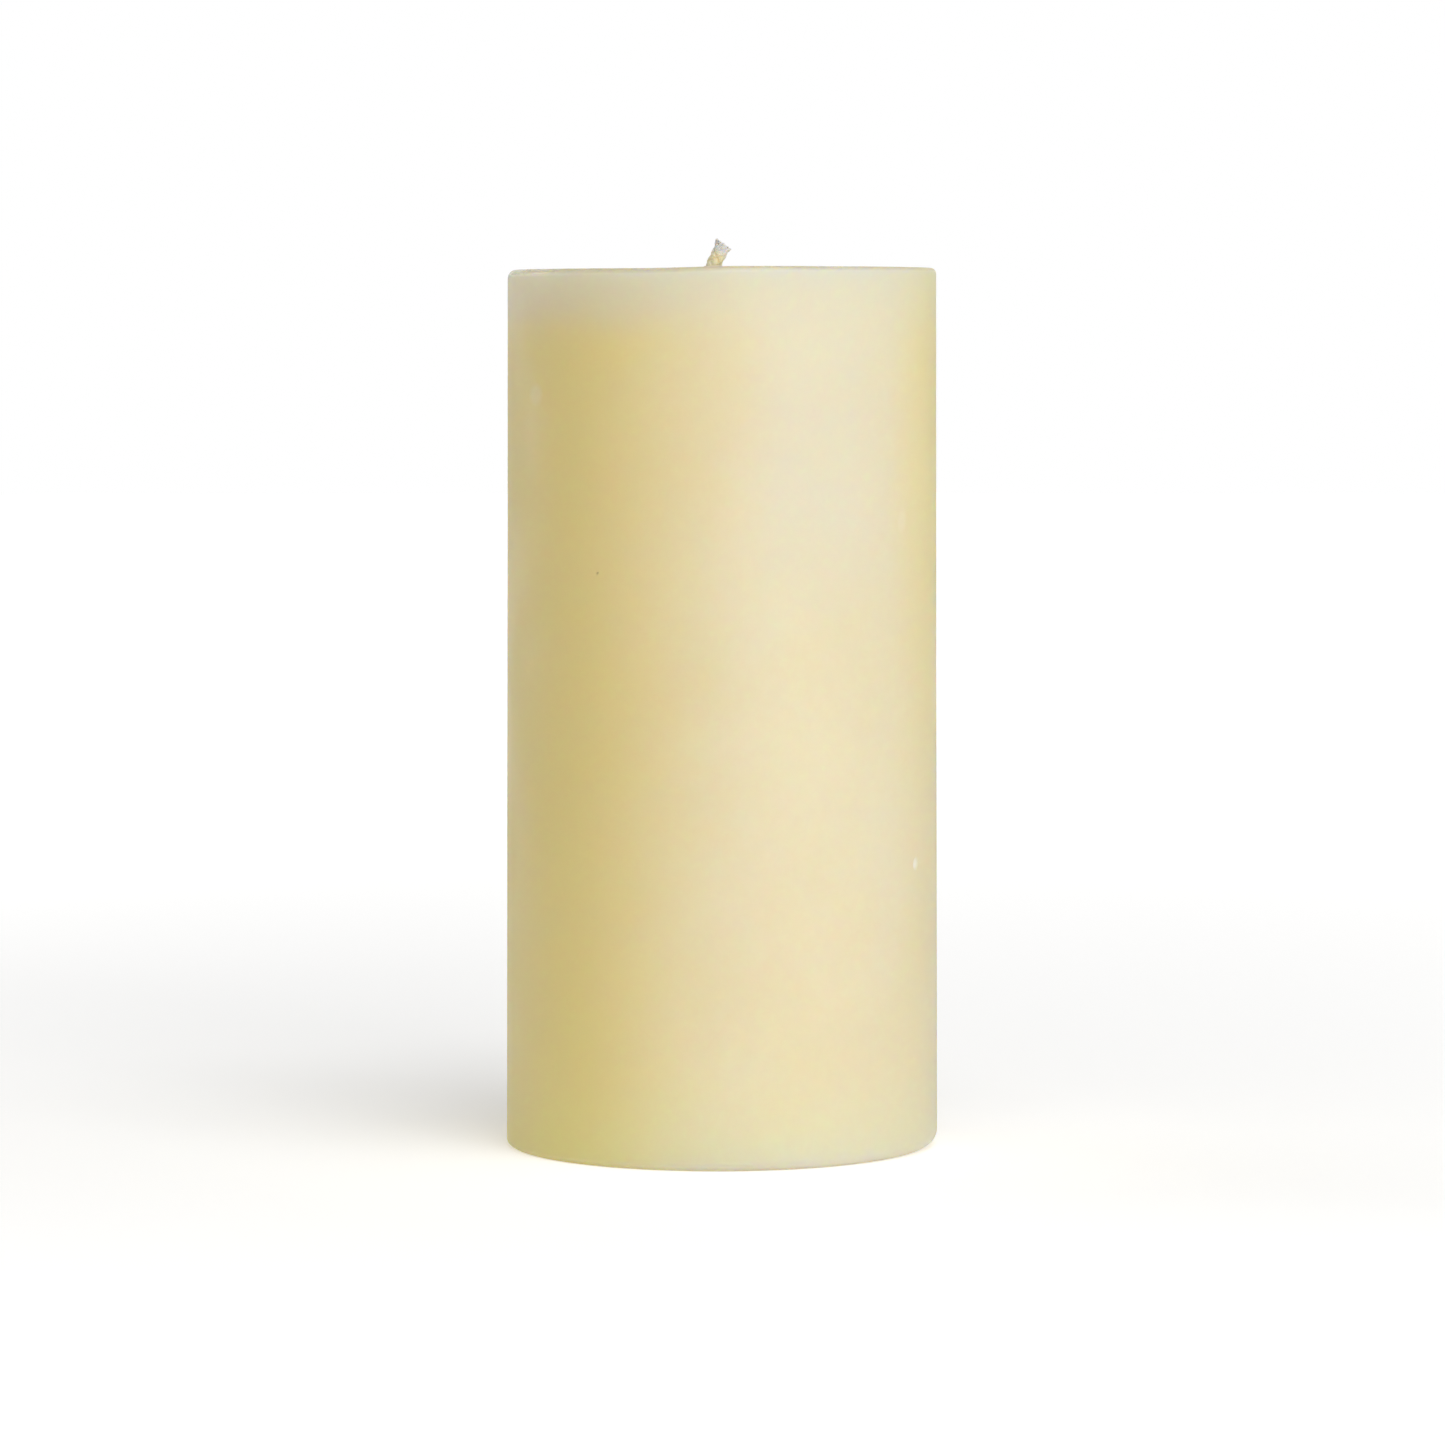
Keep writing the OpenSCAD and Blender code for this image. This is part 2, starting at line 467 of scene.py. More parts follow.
def calc(tree, operation, *values):
    return add(tree, "ShaderNodeMath", dict(enumerate(values)), operation=operation).outputs[0]


def times(tree, value, *others):
    """The product of two or more values."""
    for other in others:
        value = calc(tree, "MULTIPLY", value, other)
    return value


def scaled(tree, vector, factor):
    node = add(tree, "ShaderNodeVectorMath", {0: vector, "Scale": factor}, operation="SCALE")
    return node.outputs[0]


def combined(tree, operation, *values):
    """Vector maths. The result is a vector, or a number where the operation gives one."""
    node = add(tree, "ShaderNodeVectorMath", dict(enumerate(values)), operation=operation)
    return node.outputs["Value" if operation in ("LENGTH", "DOT_PRODUCT") else "Vector"]


def mixed(tree, factor, first, second):
    """A colour between two colours."""
    node = add(tree, "ShaderNodeMix", {0: factor, 6: first, 7: second}, data_type="RGBA")
    return node.outputs[2]


def ranged(tree, value, low, high, new_low=0.0, new_high=1.0, shape="LINEAR"):
    node = add(tree, "ShaderNodeMapRange", {0: value, 1: low, 2: high, 3: new_low, 4: new_high},
               interpolation_type=shape)
    return node.outputs[0]


def new_group(name, kind, inputs, outputs):
    """A node group with inputs (name, socket type, default) and outputs (name, socket type)."""
    tree = bpy.data.node_groups.new(name, kind)
    for label, socket, value in inputs:
        item = tree.interface.new_socket(label, in_out="INPUT", socket_type=socket)
        if value is not None:
            item.default_value = value
    for label, socket in outputs:
        tree.interface.new_socket(label, in_out="OUTPUT", socket_type=socket)
    given = tree.nodes.new("NodeGroupInput").outputs
    result = tree.nodes.new("NodeGroupOutput").inputs
    return tree, given, result


FLOAT = "NodeSocketFloat"
INTEGER = "NodeSocketInt"
VECTOR = "NodeSocketVector"
COLOR = "NodeSocketColor"
GEOMETRY = "NodeSocketGeometry"
MATERIAL = "NodeSocketMaterial"

# %% [markdown]
# ## The braid
# A candle wick is braided from cotton strands that wind round it both ways and
# pass over and under each other. That is a rule, so Geometry Nodes make it: the
# path is copied once for each yarn, each copy is pushed out to the side by an
# angle that grows along the wick, and a small wave lifts it over one crossing
# and under the next. A strand is a few yarns laid side by side, and a lobed
# profile that turns along the yarn gives its twist. The end opens out at the cut.


# %% Geometry nodes: the profile of a yarn
def yarn_profile(tree, given):
    """A circle with one shallow lobe for each ply of the yarn."""
    points = times(tree, given["Plies"], 4)
    circle = add(tree, "GeometryNodeCurvePrimitiveCircle",
                 {"Resolution": points, "Radius": given["Yarn Radius"]})
    place = add(tree, "GeometryNodeInputPosition").outputs[0]
    split = add(tree, "ShaderNodeSeparateXYZ", {0: place})
    angle = calc(tree, "ARCTAN2", split.outputs["Y"], split.outputs["X"])
    half_turns = times(tree, angle, given["Plies"], 0.5)
    lobe = calc(tree, "ABSOLUTE", calc(tree, "COSINE", half_turns))
    hollow = times(tree, calc(tree, "SUBTRACT", 1.0, lobe), given["Ply Depth"])
    lobed = scaled(tree, place, calc(tree, "SUBTRACT", 1.0, hollow))
    moved = add(tree, "GeometryNodeSetPosition", {"Geometry": circle.outputs[0], "Position": lobed})
    return moved.outputs[0]


# %% Geometry nodes: the place of a yarn
def yarn_offset(tree, given, distance, index):
    """How far each point of a yarn lies from the middle of the wick, and which way it winds."""
    strand = calc(tree, "FLOOR", calc(tree, "DIVIDE", index, given["Yarns"]))
    place = calc(tree, "SUBTRACT", calc(tree, "MODULO", index, given["Yarns"]),
                 calc(tree, "DIVIDE", calc(tree, "SUBTRACT", given["Yarns"], 1.0), 2.0))
    beside = times(tree, place, given["Yarn Gap"])
    way = calc(tree, "SUBTRACT", times(tree, calc(tree, "MODULO", strand, 2.0), 2.0), 1.0)
    pair = calc(tree, "FLOOR", calc(tree, "DIVIDE", strand, 2.0))
    start = calc(tree, "DIVIDE", times(tree, pair, math.tau), given["Strands Each Way"])
    wound = calc(tree, "DIVIDE", times(tree, distance, math.tau), given["Pitch"])
    around = calc(tree, "ADD", calc(tree, "ADD", start, beside), times(tree, way, wound))
    crossing = calc(tree, "ADD", wound, times(tree, way, beside, 0.5))
    wave = calc(tree, "COSINE", times(tree, crossing, given["Strands Each Way"]))
    wave = times(tree, wave, way, given["Weave"])
    flare_start = calc(tree, "SUBTRACT", given["Cut At"], given["Flare Length"])
    opening = calc(tree, "SUBTRACT", distance, flare_start)
    opening = calc(tree, "MAXIMUM", calc(tree, "DIVIDE", opening, given["Flare Length"]), 0.0)
    opening = times(tree, opening, opening, given["Flare"])
    out = calc(tree, "ADD", calc(tree, "ADD", given["Braid Radius"], wave), opening)
    tangent = add(tree, "GeometryNodeInputTangent").outputs[0]
    across = combined(tree, "CROSS_PRODUCT", (0, 1, 0), tangent)
    east = scaled(tree, across, times(tree, out, calc(tree, "COSINE", around)))
    north = scaled(tree, (0, 1, 0), times(tree, out, calc(tree, "SINE", around)))
    return combined(tree, "ADD", east, north), way


# %% Geometry nodes: the braid
def braid_tree():
    tree, given, result = new_group(
        "braided_strands", "GeometryNodeTree",
        [("Path", GEOMETRY, None), ("Start", FLOAT, -BRAID_SUNK), ("Cut At", FLOAT, WICK_OUT),
         ("Strands Each Way", INTEGER, 4), ("Yarns", INTEGER, 3),
         ("Yarn Radius", FLOAT, 0.215 * MM), ("Yarn Gap", FLOAT, 0.42),
         ("Braid Radius", FLOAT, 1.02 * MM), ("Pitch", FLOAT, 6.4 * MM),
         ("Weave", FLOAT, 0.15 * MM), ("Flare", FLOAT, 0.30 * MM), ("Flare Length", FLOAT, FLARE_L),
         ("Plies", INTEGER, 3), ("Ply Depth", FLOAT, 0.22), ("Ply Turn", FLOAT, 5200.0),
         ("Step", FLOAT, 0.08 * MM), ("Material", MATERIAL, None)],
        [("Geometry", GEOMETRY)])
    path = add(tree, "GeometryNodeResampleCurve", {"Curve": given["Path"], "Length": given["Step"]},
               mode="LENGTH")
    total = times(tree, given["Strands Each Way"], 2.0, given["Yarns"])
    copies = add(tree, "GeometryNodeDuplicateElements",
                 {"Geometry": path.outputs[0], "Amount": total}, domain="SPLINE")
    along = add(tree, "GeometryNodeSplineParameter").outputs["Length"]
    distance = calc(tree, "ADD", along, given["Start"])
    offset, way = yarn_offset(tree, given, distance, copies.outputs["Duplicate Index"])
    twist = times(tree, along, way, given["Ply Turn"])
    turned = add(tree, "GeometryNodeSetCurveTilt", {"Curve": copies.outputs[0], "Tilt": twist})
    moved = add(tree, "GeometryNodeSetPosition", {"Geometry": turned.outputs[0], "Offset": offset})
    strands = add(tree, "GeometryNodeCurveToMesh",
                  {"Curve": moved.outputs[0], "Profile Curve": yarn_profile(tree, given),
                   "Fill Caps": True})
    real = add(tree, "GeometryNodeRealizeInstances", {"Geometry": strands.outputs[0]})
    done = add(tree, "GeometryNodeSetMaterial",
               {"Geometry": real.outputs[0], "Material": given["Material"]})
    tree.links.new(done.outputs[0], result[0])
    return tree


braid = braid_tree()
print("braid tree:", len(braid.nodes), "nodes")


# %% Apply a tree and keep a plain mesh
def plain_mesh(piece, material):
    """The mesh that the piece's modifiers make, in the given material if there is one."""
    bpy.context.view_layer.update()
    evaluated = piece.evaluated_get(bpy.context.evaluated_depsgraph_get())
    mesh = bpy.data.meshes.new_from_object(evaluated)
    piece.modifiers.clear()
    if material:
        mesh.materials.clear()
        mesh.materials.append(material)
    return mesh


def grow(source, tree, name, **values):
    """Puts the tree on the source object and turns what it makes into a plain mesh object."""
    material = values.get("material")
    modifier = source.modifiers.new(tree.name, "NODES")
    modifier.node_group = tree
    for item in tree.interface.items_tree:
        key = item.name.replace(" ", "_").lower()
        if item.in_out == "INPUT" and key in values:
            modifier[item.identifier] = values.pop(key)
    if values:
        raise ValueError(f"{tree.name} has no input named {sorted(values)}")
    mesh = plain_mesh(source, material)
    bpy.data.objects.remove(source)
    return put(name, mesh)


def join(pieces, name):
    """Makes one object of several."""
    with bpy.context.temp_override(active_object=pieces[0], selected_editable_objects=pieces):
        bpy.ops.object.join()
    pieces[0].name = name
    return pieces[0]


# %% [markdown]
# ## Two shader groups
# Real wax and cotton are never one flat colour. The first group drifts slowly
# between two colours and breaks them up with fine flecks. The second makes the
# fine uneven skin that both the wax and the metal show in a raking light.

# %% Shader groups: clouding and an uneven skin
def noise_of(tree, vector, scale, detail, distortion=0.0):
    inputs = {"Vector": vector, "Scale": scale, "Detail": detail, "Distortion": distortion}
    return add(tree, "ShaderNodeTexNoise", inputs).outputs[0]


def clouding_group():
    tree, given, result = new_group(
        "clouding", "ShaderNodeTree",
        [("Vector", VECTOR, None), ("Pale", COLOR, (1, 1, 1, 1)), ("Warm", COLOR, (1, 0.9, 0.7, 1)),
         ("Cloud Scale", FLOAT, 30.0), ("Fleck Scale", FLOAT, 900.0), ("Fleck Share", FLOAT, 0.25)],
        [("Color", COLOR), ("Mask", FLOAT)])
    cloud = noise_of(tree, given["Vector"], given["Cloud Scale"], 3.0)
    fleck = noise_of(tree, given["Vector"], given["Fleck Scale"], 2.0)
    both = add(tree, "ShaderNodeMix", {0: given["Fleck Share"], 2: cloud, 3: fleck})
    mask = ranged(tree, both.outputs[0], 0.35, 0.65, shape="SMOOTHSTEP")
    tree.links.new(mixed(tree, mask, given["Pale"], given["Warm"]), result["Color"])
    tree.links.new(mask, result["Mask"])
    return tree


def skin_group():
    tree, given, result = new_group(
        "uneven_skin", "ShaderNodeTree",
        [("Vector", VECTOR, None), ("Grain Scale", FLOAT, 1500.0), ("Smear Scale", FLOAT, 120.0),
         ("Smear Share", FLOAT, 0.5), ("Stretch", VECTOR, (1, 1, 1))],
        [("Height", FLOAT), ("Smear", FLOAT)])
    stretched = combined(tree, "MULTIPLY", given["Vector"], given["Stretch"])
    grain = noise_of(tree, stretched, given["Grain Scale"], 2.0)
    smear = noise_of(tree, stretched, given["Smear Scale"], 4.0, distortion=0.4)
    height = add(tree, "ShaderNodeMix", {0: given["Smear Share"], 2: grain, 3: smear})
    tree.links.new(height.outputs[0], result["Height"])
    tree.links.new(ranged(tree, smear, 0.4, 0.6), result["Smear"])
    return tree


clouding = clouding_group()
uneven_skin = skin_group()
print("shader groups:", clouding.name, uneven_skin.name)


# %% Helpers for materials
def new_material(name):
    """A material, its tree, its shader, and the place that its patterns follow."""
    material = bpy.data.materials.new(name)
    material.use_nodes = True
    tree = material.node_tree
    place = add(tree, "ShaderNodeTexCoord").outputs["Object"]
    return material, tree, tree.nodes["Principled BSDF"], place


def fill(tree, node, **inputs):
    """Fills inputs by name, with _ for a space. A socket is linked, another value is set."""
    for key, value in inputs.items():
        socket = node.inputs[key.replace("_", " ")]
        if isinstance(value, bpy.types.NodeSocket):
            tree.links.new(value, socket)
        else:
            socket.default_value = value


def place_group(tree, group, **inputs):
    node = tree.nodes.new("ShaderNodeGroup")
    node.node_tree = group
    fill(tree, node, **inputs)
    return node.outputs


def bumped(tree, height, strength, distance):
    """The surface's direction, tilted by a pattern of heights."""
    inputs = {"Height": height, "Strength": strength, "Distance": distance}
    return add(tree, "ShaderNodeBump", inputs).outputs[0]


# %% [markdown]
# ## The wax
# Candle wax is lit from inside: light enters it, wanders, and leaves some way
# off, red further than blue. That is subsurface scattering, and it makes the wax
# look deep and soft. Light and shade are also painted into the wax's colour: a
# painted highlight in cream high up on the right, painted shade in honey at the
# left and at the far right, painted light as a paler grey band near the rim, and
# painted shade as a dark line on the edge round the top. Each of these is a share
# from 0 to 1 that follows the place on the candle, and the shares mix the
# colours. The marks bring their own tone in the point attribute of the mesh, and
# the dark of the pinhole is painted shade.

# %% Wax colours
WAX_PALE = (0.885, 0.805, 0.58, 1)
WAX_WARM = (0.865, 0.775, 0.525, 1)
# Painted shade: the honey of the shaded left side and of the far right edge.
WAX_SHADE_HONEY = (0.95, 0.79, 0.29, 1)
# Painted light: the paler grey band near the rim, where light comes in through the top.
WAX_RIM_LIGHT = (0.85, 0.765, 0.615, 1)
# Painted highlight: the cream where the key light's broad sheen falls.
WAX_PAINTED_SHEEN = (0.825, 0.79, 0.65, 1)
# Painted shade: the dark line along the edge round the top.
WAX_RIM_SHADE = (0.43, 0.33, 0.19, 1)
WAX_CHIP = (1.0, 0.93, 0.77, 1)
# Painted shade: the dark inside the pinhole.
WAX_HOLE_SHADE = (0.30, 0.20, 0.09, 1)
WAX_SCATTER = 0.03
WAX_SCATTER_RGB = (1.0, 0.65, 0.15)
print("red, green, blue wander mm:", [round(WAX_SCATTER * c / MM, 1) for c in WAX_SCATTER_RGB])


# %% Where the wax has changed
def painted_sheen_share(tree, x, z):
    """Share of cream, a painted highlight: right of the middle and high up, where the key light's
    broad sheen falls.
    """
    right = ranged(tree, x, 1 * MM, 12 * MM, 0.0, 0.6, shape="SMOOTHSTEP")
    not_far = ranged(tree, x, 33 * MM, 20 * MM, shape="SMOOTHSTEP")
    high_up = ranged(tree, z, 82 * MM, 115 * MM, shape="SMOOTHSTEP")
    return times(tree, right, not_far, high_up)


def painted_honey_shade(tree, x, z):
    """Share of honey, painted shade: at the left below the rim, and at the far right above the
    foot, where the side turns away from the light.
    """
    left = ranged(tree, x, 6 * MM, -30 * MM, 0.0, 0.85, shape="SMOOTHSTEP")
    below_rim = ranged(tree, z, 151 * MM, 140 * MM, shape="SMOOTHSTEP")
    right = ranged(tree, x, 27 * MM, 37 * MM, 0.0, 0.7, shape="SMOOTHSTEP")
    above_foot = ranged(tree, z, 10 * MM, 110 * MM, 0.1, 1.0)
    return calc(tree, "MAXIMUM", times(tree, left, below_rim), times(tree, right, above_foot))


def painted_rim_light(tree, x, z, radius, rise):
    """Share of painted light, a paler grey band near the rim as from light coming in through the
    top: less in the dish, at the far right and on the edge.
    """
    near_rim = ranged(tree, z, 137 * MM, 151.5 * MM, 0.0, 0.8, shape="SMOOTHSTEP")
    out_of_dish = ranged(tree, radius, 30 * MM, 36 * MM, 0.45, 1.0)
    off_right = ranged(tree, x, 37 * MM, 22 * MM, 0.45, 1.0)
    off_edge = ranged(tree, rise, 0.1, 0.6, 1.0, 0.55)
    return times(tree, near_rim, out_of_dish, off_right, off_edge)


def painted_rim_shade(tree, radius, rise, smear):
    """Share of painted shade, a dark line on the edge round the top, which comes and goes."""
    turned_up = ranged(tree, rise, 0.35, 0.95, 0.0, 0.6)
    at_edge = ranged(tree, radius, 35.2 * MM, 35.9 * MM)
    return times(tree, turned_up, at_edge, ranged(tree, smear, 0.0, 1.0, 0.65, 1.0))


# %% Wax material
def wax_material():
    material, tree, shader, place = new_material("ivory_wax")
    tone = place_group(tree, clouding, Vector=place, Pale=WAX_PALE, Warm=WAX_WARM,
                       Cloud_Scale=26.0, Fleck_Scale=420.0, Fleck_Share=0.22)
    skin = place_group(tree, uneven_skin, Vector=place, Grain_Scale=1400.0, Smear_Scale=90.0,
                       Smear_Share=0.6, Stretch=(1, 1, 0.6))
    x, _, z = add(tree, "ShaderNodeSeparateXYZ", {0: place}).outputs
    radius = combined(tree, "LENGTH", combined(tree, "MULTIPLY", place, (1, 1, 0)))
    normal = add(tree, "ShaderNodeNewGeometry").outputs["Normal"]
    rise = add(tree, "ShaderNodeSeparateXYZ", {0: normal}).outputs["Z"]
    mark = add(tree, "ShaderNodeAttribute", attribute_name="pale").outputs["Fac"]
    # Painted highlight in cream, high up on the right.
    color = mixed(tree, painted_sheen_share(tree, x, z), tone["Color"], WAX_PAINTED_SHEEN)
    # Painted shade in honey, at the left and at the far right.
    color = mixed(tree, painted_honey_shade(tree, x, z), color, WAX_SHADE_HONEY)
    # Painted light as a paler grey band near the rim.
    color = mixed(tree, painted_rim_light(tree, x, z, radius, rise), color, WAX_RIM_LIGHT)
    color = mixed(tree, ranged(tree, mark, 0.0, 1.0), color, WAX_CHIP)
    # Painted shade inside the pinhole.
    color = mixed(tree, ranged(tree, mark, 0.0, -1.0), color, WAX_HOLE_SHADE)
    # Painted shade as a dark line on the edge round the top.
    color = mixed(tree, painted_rim_shade(tree, radius, rise, skin["Smear"]), color, WAX_RIM_SHADE)
    satin = ranged(tree, skin["Smear"], 0.0, 1.0, 0.42, 0.54)
    polish = times(tree, ranged(tree, rise, 0.1, 0.4, 0.0, 0.22), ranged(tree, x, 28 * MM, 20 * MM))
    # The thin mound at the wick and a fresh chip hold less light inside.
    thick = ranged(tree, radius, 3 * MM, 6 * MM, 0.2, 1.0)
    glow = times(tree, thick, ranged(tree, mark, 0.3, 0.8, 1.0, 0.1))
    fill(tree, shader, Base_Color=color, Roughness=calc(tree, "SUBTRACT", satin, polish),
         Normal=bumped(tree, skin["Height"], 0.08, 0.0002), IOR=1.43, Specular_IOR_Level=0.30,
         Subsurface_Weight=glow, Subsurface_Radius=WAX_SCATTER_RGB, Subsurface_Scale=WAX_SCATTER)
    return material


ivory_wax = wax_material()
wax.data.materials.append(ivory_wax)
print("material:", ivory_wax.name)

# %% [markdown]
# ## The cotton
# Wax was drawn up the wick when it was primed, so its lower part is honey
# coloured and smooth, and only the cut end is dry, white and matt. One material
# does both: the share of dry cotton is a point attribute that grows to the cut.

# %% Cotton material
COTTON_DRY = (0.99, 0.985, 0.96, 1)
COTTON_GREY = (0.96, 0.95, 0.92, 1)
COTTON_PRIMED = (0.94, 0.85, 0.61, 1)
COTTON_DEEP = (0.88, 0.77, 0.49, 1)


def cotton_material():
    material, tree, shader, place = new_material("primed_cotton")
    dry = add(tree, "ShaderNodeAttribute", attribute_name="dry").outputs["Fac"]
    end = place_group(tree, clouding, Vector=place, Pale=COTTON_DRY, Warm=COTTON_GREY,
                      Cloud_Scale=900.0, Fleck_Scale=6000.0, Fleck_Share=0.5)
    body = place_group(tree, clouding, Vector=place, Pale=COTTON_PRIMED, Warm=COTTON_DEEP,
                       Cloud_Scale=700.0, Fleck_Scale=3500.0, Fleck_Share=0.35)
    fibres = place_group(tree, uneven_skin, Vector=place, Grain_Scale=9000.0, Smear_Scale=2500.0,
                         Smear_Share=0.5, Stretch=(1, 1, 0.35))
    fill(tree, shader, Base_Color=mixed(tree, dry, body["Color"], end["Color"]),
         Roughness=ranged(tree, dry, 0.0, 1.0, 0.42, 0.9), IOR=1.45, Specular_IOR_Level=0.3,
         Normal=bumped(tree, fibres["Height"], 0.35, 0.00006), Sheen_Weight=0.15,
         Sheen_Roughness=0.5, Subsurface_Weight=0.9, Subsurface_Radius=(1.0, 0.8, 0.6),
         Subsurface_Scale=0.0016)
    return material


cotton = cotton_material()
print("material:", cotton.name)


# %% Dry fibre material
# One fibre is too thin to light from inside, so it gets a plain matt surface.
FIBRE_PALE = (0.97, 0.96, 0.93, 1)
FIBRE_GREY = (0.90, 0.88, 0.83, 1)


def fibre_material():
    material, tree, shader, place = new_material("dry_fibres")
    tone = place_group(tree, clouding, Vector=place, Pale=FIBRE_PALE, Warm=FIBRE_GREY,
                       Cloud_Scale=900.0, Fleck_Scale=8000.0, Fleck_Share=0.5)
    fill(tree, shader, Base_Color=tone["Color"], Roughness=0.9, Specular_IOR_Level=0.2,
         Sheen_Weight=0.2)
    return material


dry_fibres = fibre_material()
print("material:", dry_fibres.name)

# %% [markdown]
# ## The exposed end of the wick
# The strands alone look like clean ropes. Wax has filled the valleys between
# them near the foot. It could be sculpted, but a rule does it: the strands and
# the core inside them are merged into one skin with a voxel remesh, and that
# skin is smoothed, much at the foot and hardly at the cut end.

# %% Strands of the exposed end
PAST_CUT = 0.7 * MM
LAYERS = {
    "strands": {},
    "core": dict(strands_each_way=4, yarns=1, yarn_radius=0.4 * MM, braid_radius=0.71 * MM,
                 weave=0.0, flare=0.28 * MM, ply_turn=1500.0),
    "heart": dict(strands_each_way=1, yarns=1, yarn_radius=0.45 * MM, braid_radius=0.1 * MM,
                  weave=0.0, flare=0.05 * MM, ply_turn=1500.0),
}
layers = []
for layer, values in LAYERS.items():
    path = path_curve(layer + "_path", -BRAID_SUNK, WICK_OUT + PAST_CUT, 90)
    layers.append(grow(path, braid, layer, **values))
strands = join(layers, "strands")
print("strands:", len(strands.data.polygons), "faces")


# %% Cut the end flat
def cut_flat(piece, place, way):
    """Removes what lies past a plane and closes each cut strand again."""
    shape = bmesh.new()
    shape.from_mesh(piece.data)
    cut = bmesh.ops.bisect_plane(shape, geom=shape.verts[:] + shape.edges[:] + shape.faces[:],
                                 plane_co=place, plane_no=way, clear_outer=True)
    edges = [part for part in cut["geom_cut"] if isinstance(part, bmesh.types.BMEdge)]
    bmesh.ops.holes_fill(shape, edges=edges)
    shape.to_mesh(piece.data)
    shape.free()


cut_flat(strands, cut_place, cut_way)
print("strands, cut:", len(strands.data.polygons), "faces")


# %% Merge the strands into one skin
VOXEL = 0.05 * MM
SOAKED = 0.62
DRY_SHARE = 0.05


def remesh(piece, voxel):
    modifier = piece.modifiers.new("remesh", "REMESH")
    modifier.mode = "VOXEL"
    modifier.voxel_size = voxel
    piece.data = plain_mesh(piece, cotton)


def along_wick(points):
    """Distance of each point along the wick, counted from the top of the wax."""
    steps = np.linspace(-BRAID_SUNK, WICK_OUT + PAST_CUT, 160)
    middle = np.array([wick_place(s)[0] for s in steps])
    # The path lies in the plane of x and z, so y is left out.
    gaps = np.linalg.norm(points[:, None, ::2] - middle[None, :, ::2], axis=2)
    return steps[np.argmin(gaps, axis=1)]


def soak(piece, rounds):
    """Smooths the skin of the piece, less and less towards the cut end."""
    mesh = piece.data
    points = points_of(piece)
    edges = np.empty(len(mesh.edges) * 2, int)
    mesh.edges.foreach_get("vertices", edges)
    first, second = edges.reshape(-1, 2).T
    count = np.bincount(first, minlength=len(points)) + np.bincount(second, minlength=len(points))
    share = SOAKED * (1 - smooth_step(1.6 * MM, 3.6 * MM, along_wick(points)))[:, None] + DRY_SHARE
    for _ in range(rounds):
        total = np.zeros_like(points)
        np.add.at(total, first, points[second])
        np.add.at(total, second, points[first])
        points += share * (total / count[:, None] - points)
    mesh.vertices.foreach_set("co", points.ravel())
    return points


def keep_outer_skin(piece):
    """Removes the small closed shells that the gaps inside the braid left."""
    shape = bmesh.new()
    shape.from_mesh(piece.data)
    left, shells = set(shape.verts), []
    while left:
        shell, front = set(), {left.pop()}
        while front:
            shell |= front
            front = {edge.other_vert(vert) for vert in front for edge in vert.link_edges} & left
            left -= front
        shells.append(shell)
    shells.sort(key=len)
    for shell in shells[:-1]:
        bmesh.ops.delete(shape, geom=list(shell), context="VERTS")
    shape.to_mesh(piece.data)
    shape.free()
    print("inner shells removed:", len(shells) - 1)


remesh(strands, VOXEL)
keep_outer_skin(strands)
skin = soak(strands, rounds=10)
print("exposed wick:", len(strands.data.polygons), "faces")


# %% Dry share
DRY_FROM = 2.4 * MM
DRY_TO = 4.3 * MM
store(strands, "dry", smooth_step(DRY_FROM, DRY_TO, along_wick(skin)))
print("cotton is dry from mm", round(DRY_FROM / MM, 1), "to", round(DRY_TO / MM, 1))

# %% [markdown]
# ## Frayed fibres
# Scissors leave cotton with a fuzzy end. Fibres are many small copies spread
# over a surface, so a second tree scatters points over the dry end and stands
# a thin, tapering, bent hair on each, with a fixed seed.


# %% Geometry nodes: frayed fibres
def fray_tree():
    tree, given, result = new_group(
        "frayed_fibres", "GeometryNodeTree",
        [("Surface", GEOMETRY, None), ("Density", FLOAT, 2.4e7), ("Length", FLOAT, 0.22 * MM),
         ("Radius", FLOAT, 0.014 * MM), ("Spread", FLOAT, 0.9), ("Side Share", FLOAT, 0.06),
         ("Way", VECTOR, (0, 0, 1)), ("Seed", INTEGER, 4), ("Material", MATERIAL, None)],
        [("Geometry", GEOMETRY)])
    named = add(tree, "GeometryNodeInputNamedAttribute", {"Name": "dry"}, data_type="FLOAT")
    dry = named.outputs[0]
    normal = add(tree, "GeometryNodeInputNormal").outputs[0]
    facing = combined(tree, "DOT_PRODUCT", normal, given["Way"])
    on_cut = ranged(tree, facing, 0.2, 0.9, given["Side Share"], 1.0)
    share = times(tree, on_cut, calc(tree, "POWER", dry, 4.0))
    density = times(tree, given["Density"], share)
    points = add(tree, "GeometryNodeDistributePointsOnFaces",
                 {"Mesh": given["Surface"], "Density": density, "Seed": given["Seed"]})
    sway = add(tree, "FunctionNodeRandomValue",
               {0: (-1, -1, -1), 1: (1, 1, 1), "Seed": given["Seed"]}, data_type="FLOAT_VECTOR")
    swayed = scaled(tree, sway.outputs[0], given["Spread"])
    way = combined(tree, "ADD", points.outputs["Normal"], swayed)
    turn = add(tree, "FunctionNodeAlignRotationToVector", {"Vector": way}, axis="Z")
    size = add(tree, "FunctionNodeRandomValue",
               {2: 0.35, 3: 1.0, "Seed": given["Seed"]}, data_type="FLOAT")
    hairs = add(tree, "GeometryNodeInstanceOnPoints",
                {"Points": points.outputs[0], "Instance": one_fibre(tree, given),
                 "Rotation": turn.outputs[0], "Scale": size.outputs[1]})
    real = add(tree, "GeometryNodeRealizeInstances", {"Geometry": hairs.outputs[0]})
    kept = add(tree, "GeometryNodeStoreNamedAttribute",
               {"Geometry": real.outputs[0], "Name": "dry", "Value": 1.0},
               data_type="FLOAT", domain="POINT")
    done = add(tree, "GeometryNodeSetMaterial",
               {"Geometry": kept.outputs[0], "Material": given["Material"]})
    tree.links.new(done.outputs[0], result[0])
    return tree


